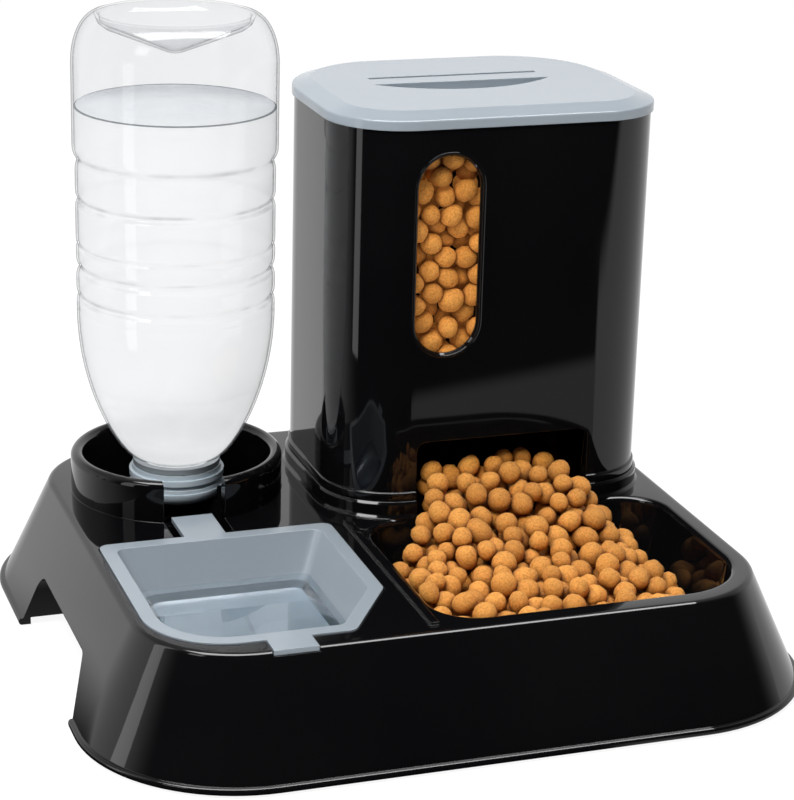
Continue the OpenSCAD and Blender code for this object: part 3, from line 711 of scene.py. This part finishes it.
@dataclass
class FoodPile:
    """A heap of baked food, dropped lump by lump into a space.

    The lumps lie on floor and are wanted up to top, heights from x and y. Room gives the
    distance to the nearest wall from x, y and z. Limit lumps are tried, each in tries places.
    """

    name: str
    body: str
    low: Point
    high: Point
    floor: Surface
    top: Surface
    room: Room
    seed: int
    limit: int
    radius: Point = (4.9, 6.2)
    tries: int = 60
    finish: Kibble = FOOD

    # Resting lumps overlap a little, and stand out of the wanted top by part of their radius.
    CLOSENESS = 0.93
    UNDER_TOP = 0.6
    BARRED = 1e9

    # A lump: rings and segments of its ball, its mean size, its dents and its stretch.
    RINGS = 7
    SEGMENTS = 11
    MEAN_SIZE = 0.97
    DENT = 0.035
    DENT_PITCH = 2.6
    STRETCH = (-0.04, 0.22)

    def settle(self) -> tuple[Array, Array]:
        """Drops the lumps one at a time.

        Each lump tries many places, rests there on the floor or on the lumps below, and takes
        the place that lies deepest under the wanted top.

        Returns:
            The centres and the radii.
        """
        rng = np.random.default_rng(self.seed)
        centres = np.zeros((0, 3))
        radii = np.zeros(0)
        for _ in range(self.limit):
            r = rng.uniform(*self.radius)
            x = rng.uniform(self.low[0], self.high[0], self.tries)
            y = rng.uniform(self.low[1], self.high[1], self.tries)
            z = self.floor(x, y) + r
            if len(radii):
                gap = (x[:, None] - centres[:, 0]) ** 2 + (y[:, None] - centres[:, 1]) ** 2
                reach = (radii + r)[None, :] * self.CLOSENESS
                lift = np.sqrt(np.maximum(reach**2 - gap, 0))
                rest = np.where(gap < reach**2, centres[:, 2] + lift, -self.BARRED).max(1)
                z = np.maximum(z, rest)
            wanted = self.top(x, y)
            fits = (z + r * self.UNDER_TOP < wanted) & (self.room(x, y, z) > r)
            score = np.where(fits, z - wanted, self.BARRED)
            best = int(np.argmin(score))
            if not fits[best]:
                continue
            centres = np.vstack([centres, [x[best], y[best], z[best]]])
            radii = np.append(radii, r)
        return centres, radii

    def ball(self) -> tuple[Array, list[Array]]:
        """A unit ball on a grid of two angles, with a point at each pole.

        Returns:
            The points, and the faces in groups of equal size: between rings, top and bottom.
        """
        rows, cols = self.RINGS, self.SEGMENTS
        polar = np.linspace(0.0, np.pi, rows + 2)[1:-1]
        turn = np.linspace(0, 2 * np.pi, cols, endpoint=False)
        side, height = np.sin(polar)[:, None], np.cos(polar)[:, None]
        rings = np.stack([side * np.cos(turn), side * np.sin(turn), height + 0 * turn], -1)
        points = np.concatenate([rings.reshape(-1, 3), [[0, 0, 1.0], [0, 0, -1.0]]])
        ring = np.arange(cols)
        after, last = (ring + 1) % cols, (rows - 1) * cols
        top = np.stack([ring, after, np.full(cols, rows * cols)], 1)
        bottom = np.stack([last + after, last + ring, np.full(cols, rows * cols + 1)], 1)
        return points, [grid_faces(rows, cols, True)[:, ::-1], top, bottom]

    def build(self) -> bpy.types.Object:
        """Makes the heap as one mesh.

        Each lump is a ball, stretched a little along a direction of its own and dented by two
        slow waves.
        """
        centres, radii = self.settle()
        count = len(radii)
        rng = np.random.default_rng(self.seed + 1)
        unit, groups = self.ball()
        axis = rng.normal(size=(count, 3))
        axis /= np.linalg.norm(axis, axis=1)[:, None]
        frame, _ = np.linalg.qr(rng.normal(size=(count, 3, 3)))
        turned = np.einsum("nij,pj->npi", frame, unit)
        wave_dir = rng.normal(size=(count, 2, 3))
        phase = rng.uniform(0, 2 * np.pi, (count, 2))
        across = np.einsum("nkj,npj->npk", wave_dir, turned)
        wave = np.sin(self.DENT_PITCH * across + phase[:, None, :]).sum(2)
        stretch = rng.uniform(*self.STRETCH, count)
        along = np.einsum("nj,npj->np", axis, turned)
        points = turned * (radii[:, None] * (self.MEAN_SIZE + self.DENT * wave))[..., None]
        points += axis[:, None, :] * (along * stretch[:, None] * radii[:, None])[..., None]
        points += centres[:, None, :]
        shift = np.arange(count)[:, None, None] * len(unit)
        faces = [
            face for group in groups
            for face in (group[None] + shift).reshape(-1, group.shape[1]).tolist()
        ]
        piece = new_piece(self.name, points.reshape(-1, 3), faces)
        tone = piece.data.attributes.new("tone", "FLOAT", "POINT")
        tones = np.repeat(rng.uniform(0, 1, count), len(unit))
        tone.data.foreach_set("value", tones.astype(np.float32))
        return dress(piece, self.finish, self.body)


def rounded_room(low: Point, high: Point, corner: float) -> Surface:
    """Distance to the edge of a rounded rectangle, positive inside.

    Args:
        low: The rectangle's front left corner.
        high: Its back right corner.
        corner: Radius of its corners.

    Returns:
        A function of x and y.
    """
    mid = ((low[0] + high[0]) / 2, (low[1] + high[1]) / 2)
    half = ((high[0] - low[0]) / 2 - corner, (high[1] - low[1]) / 2 - corner)

    def room(x: Array, y: Array) -> Array:
        """How far inside the edge a point lies."""
        qx, qy = np.abs(x - mid[0]) - half[0], np.abs(y - mid[1]) - half[1]
        outside = np.hypot(np.maximum(qx, 0), np.maximum(qy, 0))
        return corner - outside - np.minimum(np.maximum(qx, qy), 0)

    return room


@dataclass
class Food:
    """The food in the bowl, in the outlet, behind the window and on top of the hopper."""

    bowl_low: Point = (-15.0, -124.4)
    bowl_high: Point = (139.2, -4.0)
    bowl_corner: float = 36.0
    bowl_floor: float = 22.4
    bowl_gap: float = 3.2 * 0.4
    bowl_lean: float = 11.0
    rim: float = 56.0
    mouth_x: Point = (17.6, 101.9)
    mouth_y: Point = (-14.0, 18.0)
    bowl_end: float = -8.0
    chute_y: float = 9.0
    chute_rise: float = 0.745

    # Heights of the heap at the outlet and in front: height, y it holds at, slope from there.
    crest: Triple = (80.0, -6.0, 0.5)
    apron: Triple = (55.0, -60.0, 0.10)

    # Where the heap starts to fall to the side, how fast, and over how far it fades forward.
    fall_right: Point = (106.0, 1.0)
    thin_right: Triple = (92.0, 0.9, 70.0)
    thin_left: Triple = (22.0, 1.5, 62.0)

    # Half width and back of the column behind the window, and how far back its lumps keep.
    window_x: float = 27.8
    column: Point = (25.0, 29.0)
    column_z: Point = (128.0, 222.0)
    pane_back: float = 5.0
    hopper_low: Point = (-21.4, 2.6)
    hopper_high: Point = (139.6, 130.4)
    hopper_corner: float = 50.0
    store_z: Point = (219.0, 243.0)

    def bowl_room(self) -> Room:
        """Distance to the bowl's leaning wall or to the sides of the outlet."""
        wall = rounded_room(self.bowl_low, self.bowl_high, self.bowl_corner)
        slope = math.tan(math.radians(self.bowl_lean))

        def room(x: Array, y: Array, z: Array) -> Array:
            """The greater of the two where the bowl runs into the outlet."""
            in_bowl = wall(x, y) - self.bowl_gap - np.maximum(self.rim - z, 0) * slope
            side = np.minimum(x - self.mouth_x[0], self.mouth_x[1] - x)
            in_mouth = np.minimum(side, self.mouth_y[1] - y)
            either = np.maximum(np.where(y < self.bowl_end, in_bowl, -1), in_mouth)
            return np.where(y > self.mouth_y[0], either, in_bowl)

        return room

    def bowl_top(self, x: Array, y: Array) -> Array:
        """Falls from the outlet to the front, and off to the right and the left."""
        back = self.crest[0] + np.minimum(y - self.crest[1], 0) * self.crest[2]
        front = self.apron[0] + (y - self.apron[1]) * self.apron[2]
        right = np.maximum(x - self.fall_right[0], 0) * self.fall_right[1]
        at, rate, reach = self.thin_right
        right = right + np.maximum(x - at, 0) * np.clip((y + reach) / reach, 0, 1) * rate
        at, rate, reach = self.thin_left
        left = np.maximum(at - x, 0) * np.clip((y + reach) / reach, 0, 1) * rate
        return np.maximum(back, front) - right - left

    def bowl(self) -> bpy.types.Object:
        """The heap in the bowl, running back into the outlet."""

        def floor(x: Array, y: Array) -> Array:
            """The bowl's floor, then the slope of the chute."""
            return self.bowl_floor + np.maximum(y - self.chute_y, 0) * self.chute_rise

        return FoodPile(
            "food_in_bowl", "tray", (-14, -124), (139, self.mouth_y[1]),
            floor, self.bowl_top, self.bowl_room(), seed=5, limit=1050,
        ).build()

    def window(self) -> bpy.types.Object:
        """The lumps that lie against the window."""
        half, back = self.column

        def room(x: Array, y: Array, z: Array) -> Array:
            """Distance to the front wall and to the sides of a column behind the window."""
            side = half - np.abs(x - self.window_x)
            return np.minimum(np.minimum(side, y - self.pane_back), back - y)

        return FoodPile(
            "food_behind_window", "hopper", (0, 4), (56, 28),
            level(self.column_z[0]), level(self.column_z[1]), room,
            seed=11, limit=260, tries=90, finish=STORED_FOOD_PAINTED_GLOW,
        ).build()

    def top(self) -> bpy.types.Object:
        """The top of the food in the hopper."""
        wall = rounded_room(self.hopper_low, self.hopper_high, self.hopper_corner)
        return FoodPile(
            "food_in_hopper", "hopper", (-20, 4), (138, 129),
            level(self.store_z[0]), level(self.store_z[1]), lambda x, y, z: wall(x, y),
            seed=23, limit=430, tries=50,
        ).build()

    def build(self) -> None:
        """Makes all the food."""
        self.bowl()
        self.window()
        self.top()


# ---------------------------------------------------------------- bottle and water

# Radius at which a turned profile stops, short of its axis.
AXIS_GAP = 0.02


@dataclass
class WaterBottle:
    """The upturned bottle with its ribs, and the water in it."""

    axis: Point = (-88.8, 71.2)
    body_r: float = 50.0
    top_z: float = 296.5
    shoulder_top: float = 150.0
    shoulder_power: float = 0.62
    neck_top: float = 73.0
    neck_step: float = 2.0
    mouth_z: float = 57.5
    neck_r: float = 18.0
    wall: float = 1.0
    neck_wall: float = 2.0
    heel_in: float = 13.0
    heel_up: float = 24.0
    punt_step: float = 4.0
    punt_deep: float = 19.0
    punt_tip: float = 4.0
    water_z: float = 251.9
    water_gap: float = 0.15
    neck_gap: float = 0.2
    edge: Point = (0.9, 0.6)
    groove_z: tuple[float, ...] = (148.5, 158.0, 172.0, 183.5, 206.0, 226.0)
    groove_deep: tuple[float, ...] = (1.0, 1.4, 1.7, 0.9, 1.7, 1.5)
    groove_half: tuple[float, ...] = (1.7, 1.7, 2.4, 1.3, 1.8, 2.8)
    waist_in: float = 1.3
    waist_soft: float = 1.2

    SHOULDER_ROWS = 44
    SIDE_ROWS = 150
    HEEL_ROWS = 14
    HEEL_DEGREES = (5, 75)
    SIDE_START = 0.8

    def outer(self, inset: float) -> Array:
        """The body's profile from the neck up to the rounded heel, moved in by inset.

        The shoulder's radius grows as a power of a sine. Above it each groove takes away a bell
        curve, and the waist a soft step. The heel is most of a quarter of an ellipse.
        """
        t = np.linspace(0, 1, self.SHOULDER_ROWS)
        grown = self.body_r - self.waist_in - self.neck_r - self.neck_step
        curve = np.sin(np.pi / 2 * t) ** self.shoulder_power
        radius = self.neck_r + self.neck_step + grown * curve
        rise = (self.shoulder_top - self.neck_top) * t
        shoulder = np.stack([radius - inset, self.neck_top + rise], 1)
        heel_z = self.top_z - self.heel_up
        z = np.linspace(self.shoulder_top + self.SIDE_START, heel_z, self.SIDE_ROWS)
        grooves = (self.groove_z, self.groove_deep, self.groove_half)
        at, deep, half = (np.array(v) for v in grooves)
        cut = (deep * np.exp(-(((z[:, None] - at) / half) ** 2))).sum(1)
        cut += self.waist_in / (1 + np.exp((z - self.groove_z[-1]) / self.waist_soft))
        side = np.stack([self.body_r - cut - inset, z], 1)
        a = np.radians(np.linspace(*self.HEEL_DEGREES, self.HEEL_ROWS))
        heel = np.stack([
            self.body_r - self.heel_in + (self.heel_in - inset) * np.cos(a),
            heel_z + (self.heel_up - inset) * np.sin(a),
        ], 1)
        return np.concatenate([shoulder, side, heel])

    def shell(self) -> bpy.types.Object:
        """The clear wall: outside up, over the upturned base, and back down the inside."""
        ring, e, tip, top = self.body_r - self.heel_in - 1, self.wall, self.punt_tip, self.top_z
        step, dip = top - self.punt_step, top - self.punt_deep
        base = [
            [ring + 1.5, top], [ring + 0.4, top - 0.8], [ring, step], [ring - 2, step - 1.2],
            [tip, dip + 1], [AXIS_GAP, dip],
        ]
        under = [
            [AXIS_GAP, dip - e], [tip, dip + 1 - e], [ring - 1.6, step - 1.6 - e],
            [ring + e, step - e / 2], [ring + 1.5 + e, top - e],
        ]
        bore, neck_z = self.neck_r - self.neck_wall, self.neck_top - 1
        profile = np.concatenate([
            [[self.neck_r, self.mouth_z], [self.neck_r, neck_z]], self.outer(0.0), base,
            under, self.outer(e)[::-1], [[bore, neck_z], [bore, self.mouth_z]],
        ])
        points, faces = revolved(profile, self.axis)
        piece = new_piece("bottle_shell", points, faces[:, ::-1], Shade.CREASED)
        dress(piece, BOTTLE_CLEAR, "bottle")
        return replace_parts(piece, "bottle")

    def water(self) -> bpy.types.Object:
        """The water, a hair clear of the wall, up to its level."""
        body = self.outer(self.wall + self.water_gap)
        body = body[body[:, 1] < self.water_z]
        foot, bore = self.mouth_z + 3, self.neck_r - self.neck_wall - self.neck_gap
        wide, deep = self.edge
        profile = np.concatenate([
            [[AXIS_GAP, foot], [bore, foot], [bore, self.neck_top - 1]],
            body,
            [[body[-1, 0], self.water_z - deep], [body[-1, 0] - wide, self.water_z]],
            [[AXIS_GAP, self.water_z]],
        ])
        points, faces = revolved(profile, self.axis)
        piece = new_piece("bottle_water", points, faces[:, ::-1], Shade.CREASED)
        dress(piece, BOTTLED, "bottle", WATER_LINE, WATER_TOP)
        below = self.water_z - np.asarray(points)[faces].mean(1)[:, 2]
        slots = np.where(below < 0.05, 2, np.where(below < 0.5, 1, 0))
        piece.data.polygons.foreach_set("material_index", slots.astype(np.int32))
        return piece

    def build(self) -> None:
        """Makes the bottle and its water."""
        self.shell()
        self.water()


@dataclass
class DishWater:
    """The water standing in the dish."""

    left: float = -145.0
    right: float = -30.0
    front: float = -125.0
    back: float = 0.5
    cut: Point = (26.5, 41.5)
    corner: float = 38.0
    edge: float = 5.0
    rim: float = 6.5
    lean: float = 14.0
    floor: float = 26.0
    top: float = 56.6
    level: float = 38.0
    gap: float = 0.1
    eased: float = 0.3

    def loop(self, z: float) -> Array:
        """The dish's inside outline at height z, a hair clear of the wall."""
        corners = [
            (self.left, self.front), (self.right - self.cut[0], self.front),
            (self.right, self.front + self.cut[1]), (self.right, self.back),
            (self.left, self.back),
        ]
        depth = self.rim + self.lean * (self.top - z) / (self.top - self.floor) + self.gap
        radii = [max(r - depth, self.edge) for r in (self.corner, *[self.edge] * 4)]
        return rounded_loop(inset_corners(corners, depth), radii)

    def build(self) -> bpy.types.Object:
        """Makes the water."""
        middle = (self.floor + self.level) / 2
        heights = [self.floor + self.gap, middle, self.level - self.eased, self.level]
        points, faces = lofted([self.loop(z) for z in heights], heights)
        piece = new_piece("dish_water", points, faces, Shade.CREASED)
        return dress(piece, WATER, "dish")


# ---------------------------------------------------------------- studio


@dataclass(frozen=True)
class Softbox:
    """A rectangular studio light, seen in glossy surfaces or not, lighting matt ones or not."""

    name: str
    at: Triple
    size: Point
    power: float
    seen: bool
    lit: bool = True
    aim: Triple = (0.0, 0.0, 0.1)

    def build(self) -> None:
        """Adds the light, turned to its aim."""
        lamp = bpy.data.lights.new(self.name, "AREA")
        lamp.shape = "RECTANGLE"
        lamp.size, lamp.size_y = self.size
        lamp.energy = self.power
        light = bpy.data.objects.new(self.name, lamp)
        bpy.context.scene.collection.objects.link(light)
        light.location = self.at
        towards = Vector(self.aim) - Vector(self.at)
        light.rotation_euler = towards.to_track_quat("-Z", "Y").to_euler()
        light.visible_glossy = self.seen
        light.visible_diffuse = self.lit
        light.visible_camera = False


SOFTBOXES = (
    Softbox("key", (-0.75, -0.95, 1.75), (0.7, 0.7), 37.0, seen=False),
    Softbox("overhead", (0.1, 0.1, 1.6), (1.2, 0.9), 12.0, seen=False),
    Softbox("corner_glint", (-0.95, -0.55, 0.85), (0.3, 0.3), 1.1, seen=True),
    Softbox("top_card", (0.0, -0.1, 1.3), (1.5, 0.55), 36.0, seen=True, lit=False),
    Softbox(
        "side_card", (-0.37, -0.07, 0.17), (0.07, 0.3), 0.13, seen=True, lit=False,
        aim=(-0.089, 0.071, 0.17),
    ),
)


@dataclass
class Studio:
    """Camera, floor, lights and surroundings. The floor's measures are in millimetres."""

    eye: Triple = (-0.38089, -1.09577, 0.51417)
    azimuth: float = -19.322
    elevation: float = 18.885
    roll: float = 1.532
    lens: float = 113.83
    floor_half: float = 9000.0
    floor_z: float = -0.2
    floor_glow: float = 1.1
    floor_share: float = 0.84

    def camera(self) -> None:
        """Adds the camera."""
        a, e, roll = (math.radians(v) for v in (self.azimuth, self.elevation, self.roll))
        back = Vector((math.sin(a) * math.cos(e), -math.cos(a) * math.cos(e), math.sin(e)))
        right = Vector((0, 0, 1)).cross(back).normalized()
        up = back.cross(right)
        right_turned = math.cos(roll) * right + math.sin(roll) * up
        up_turned = -math.sin(roll) * right + math.cos(roll) * up
        turn = Matrix((right_turned, up_turned, back)).transposed().to_4x4()
        data = bpy.data.cameras.new("camera")
        data.sensor_width = 36.0
        data.lens = self.lens
        camera = bpy.data.objects.new("camera", data)
        camera.matrix_world = Matrix.Translation(self.eye) @ turn
        bpy.context.scene.collection.objects.link(camera)
        bpy.context.scene.camera = camera

    def echo_strength(self, nodes: Nodes) -> Socket:
        """How bright the floor is in reflections.

        It is bright behind the object. In front it is dim, but for one soft patch near the
        hopper's front and one further to the right.
        """
        place = nodes.place()

        def past(x: float, y: float, low: float, high: float) -> Socket:
            """Rises from 0 to 1 across a slanting line on the floor."""
            ends = {0: place, 1: (x, y, 0.0)}
            along = nodes.add("VectorMath", ends, operation="DOT_PRODUCT")
            return nodes.rise(along.outputs["Value"], (low, high), smooth=True)

        behind = nodes.rise(nodes.part(place, "Y"), (-0.12, 0.22), (0.004, 1.0), smooth=True)
        near = nodes.maths(
            "MULTIPLY", past(1.0, 0.35, -0.01, 0.01), past(0.27, 1.0, -0.31, -0.275)
        )
        aside = nodes.maths(
            "MULTIPLY", past(1.0, 0.455, 0.112, 0.128), past(0.4, 1.0, -0.52, -0.3)
        )
        near, aside = nodes.span(near, 0.0, 0.55), nodes.span(aside, 0.0, 0.95)
        return nodes.maths("MAXIMUM", nodes.maths("MAXIMUM", near, aside), behind)

    def floor(self) -> None:
        """Adds the pale floor, which reflections see with a brightness of its own."""
        far, z = self.floor_half, self.floor_z
        corners = np.array([[-far, -far, z], [far, -far, z], [far, far, z], [-far, far, z]])
        plane = new_piece("floor", corners, [(0, 1, 2, 3)])
        material = bpy.data.materials.new("pale_floor")
        nodes = Nodes(material)
        matt = nodes.add("BsdfDiffuse", {"Color": (0.9, 0.9, 0.9, 1)}).outputs[0]
        glow = nodes.add("Emission", {"Strength": self.floor_glow}).outputs[0]
        echo = nodes.add("Emission", {"Strength": self.echo_strength(nodes)}).outputs[0]
        glossy = nodes.add("LightPath").outputs["Is Glossy Ray"]
        nodes.finish(nodes.mixed(glossy, nodes.mixed(self.floor_share, matt, glow), echo))
        plane.data.materials.append(material)

    def world(self) -> None:
        """Surroundings: white behind and beside, dark in front and white to the camera."""
        world = bpy.data.worlds.new("studio")
        bpy.context.scene.world = world
        nodes = Nodes(world)
        way = nodes.add("TexCoord").outputs["Generated"]
        behind = nodes.rise(nodes.part(way, "Y"), (-0.25, 0.3), (0.015, 1.25), smooth=True)
        above = nodes.rise(nodes.part(way, "Z"), (0.38, 0.7), (1.0, 0.5), smooth=True)
        around = nodes.maths("MULTIPLY", behind, above)
        camera = nodes.add("LightPath").outputs["Is Camera Ray"]
        bright = nodes.maths("MAXIMUM", around, camera)
        nodes.finish(nodes.add("Background", {"Strength": bright}).outputs[0], "OutputWorld")

    def build(self) -> None:
        """Sets up the studio."""
        self.camera()
        self.floor()
        self.world()
        for box in SOFTBOXES:
            box.build()
        bpy.context.scene.view_settings.view_transform = "Standard"


# ---------------------------------------------------------------- the feeder


@dataclass
class WindowRing:
    """The rounded rim of the hopper's window, round a middle line just outside the opening."""

    at: Point = (27.8, 187.5)
    half: Point = (15.75, 49.0)
    out: float = 1.5
    y: float = 0.55
    thick: float = 0.9
    steps: int = 12

    def loop(self, angle: float) -> Array:
        """The line that one point of the section runs along."""
        wide, tall = self.half
        corners = [(-wide, -tall), (wide, -tall), (wide, tall), (-wide, tall)]
        grow = self.out + self.thick * math.cos(angle)
        line = rounded_loop(corners, [wide - LEAST_RADIUS] * 4, grow)
        depth = np.full(len(line), self.y - self.thick * math.sin(angle))
        return np.column_stack([line[:, 0] + self.at[0], depth, line[:, 1] + self.at[1]])

    def build(self) -> bpy.types.Object:
        """Makes the rim."""
        turn = np.linspace(0, 2 * np.pi, self.steps, endpoint=False)
        loops = [self.loop(angle) for angle in turn]
        faces = grid_faces(self.steps, len(loops[0]), True, True)[:, ::-1]
        piece = new_piece("window_ring", np.concatenate(loops), faces)
        return dress(piece, GLOSS_BLACK, "hopper")


def dress_frame(shop: Workshop) -> None:
    """Stands smooth skins in for the large nodes, and finishes the small ones as they are."""
    for node in ("base_tray", "hopper_shell", "feed_chute", "bottle_cradle"):
        shop.skin(node, GLOSS_BLACK)
    shop.skin("lid_cover", BLUE_GREY, crease=9.0)
    shop.skin("water_dish", BLUE_GREY)
    shop.skin("window_pane", PANE_CLEAR, crease=15.0)
    shop.skin("valve_cap", CAP_GREY)
    shop.skin("tamper_ring", RING_GREY)
    for side in ("front_left", "front_right", "back_left", "back_right"):
        shop.paint("foot_" + side, PAD_BLACK)
    for node in ("valve_plunger", "spring_retainer"):
        shop.paint(node, CAP_GREY)
    for node in ("cap_washer", "valve_seal"):
        shop.paint(node, SEAL_GREY)
    for node in ("chute_screw_left", "chute_screw_right", "valve_spring"):
        shop.paint(node, STEEL)


def main() -> None:
    """Builds the feeder and its studio."""
    logging.basicConfig(level=logging.INFO, format="%(name)s %(message)s")
    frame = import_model()
    Studio().build()
    dress_frame(Workshop(frame))
    WaterBottle().build()
    DishWater().build()
    WindowRing().build()
    Food().build()
    bpy.context.view_layer.update()


if __name__ == "__main__":
    main()
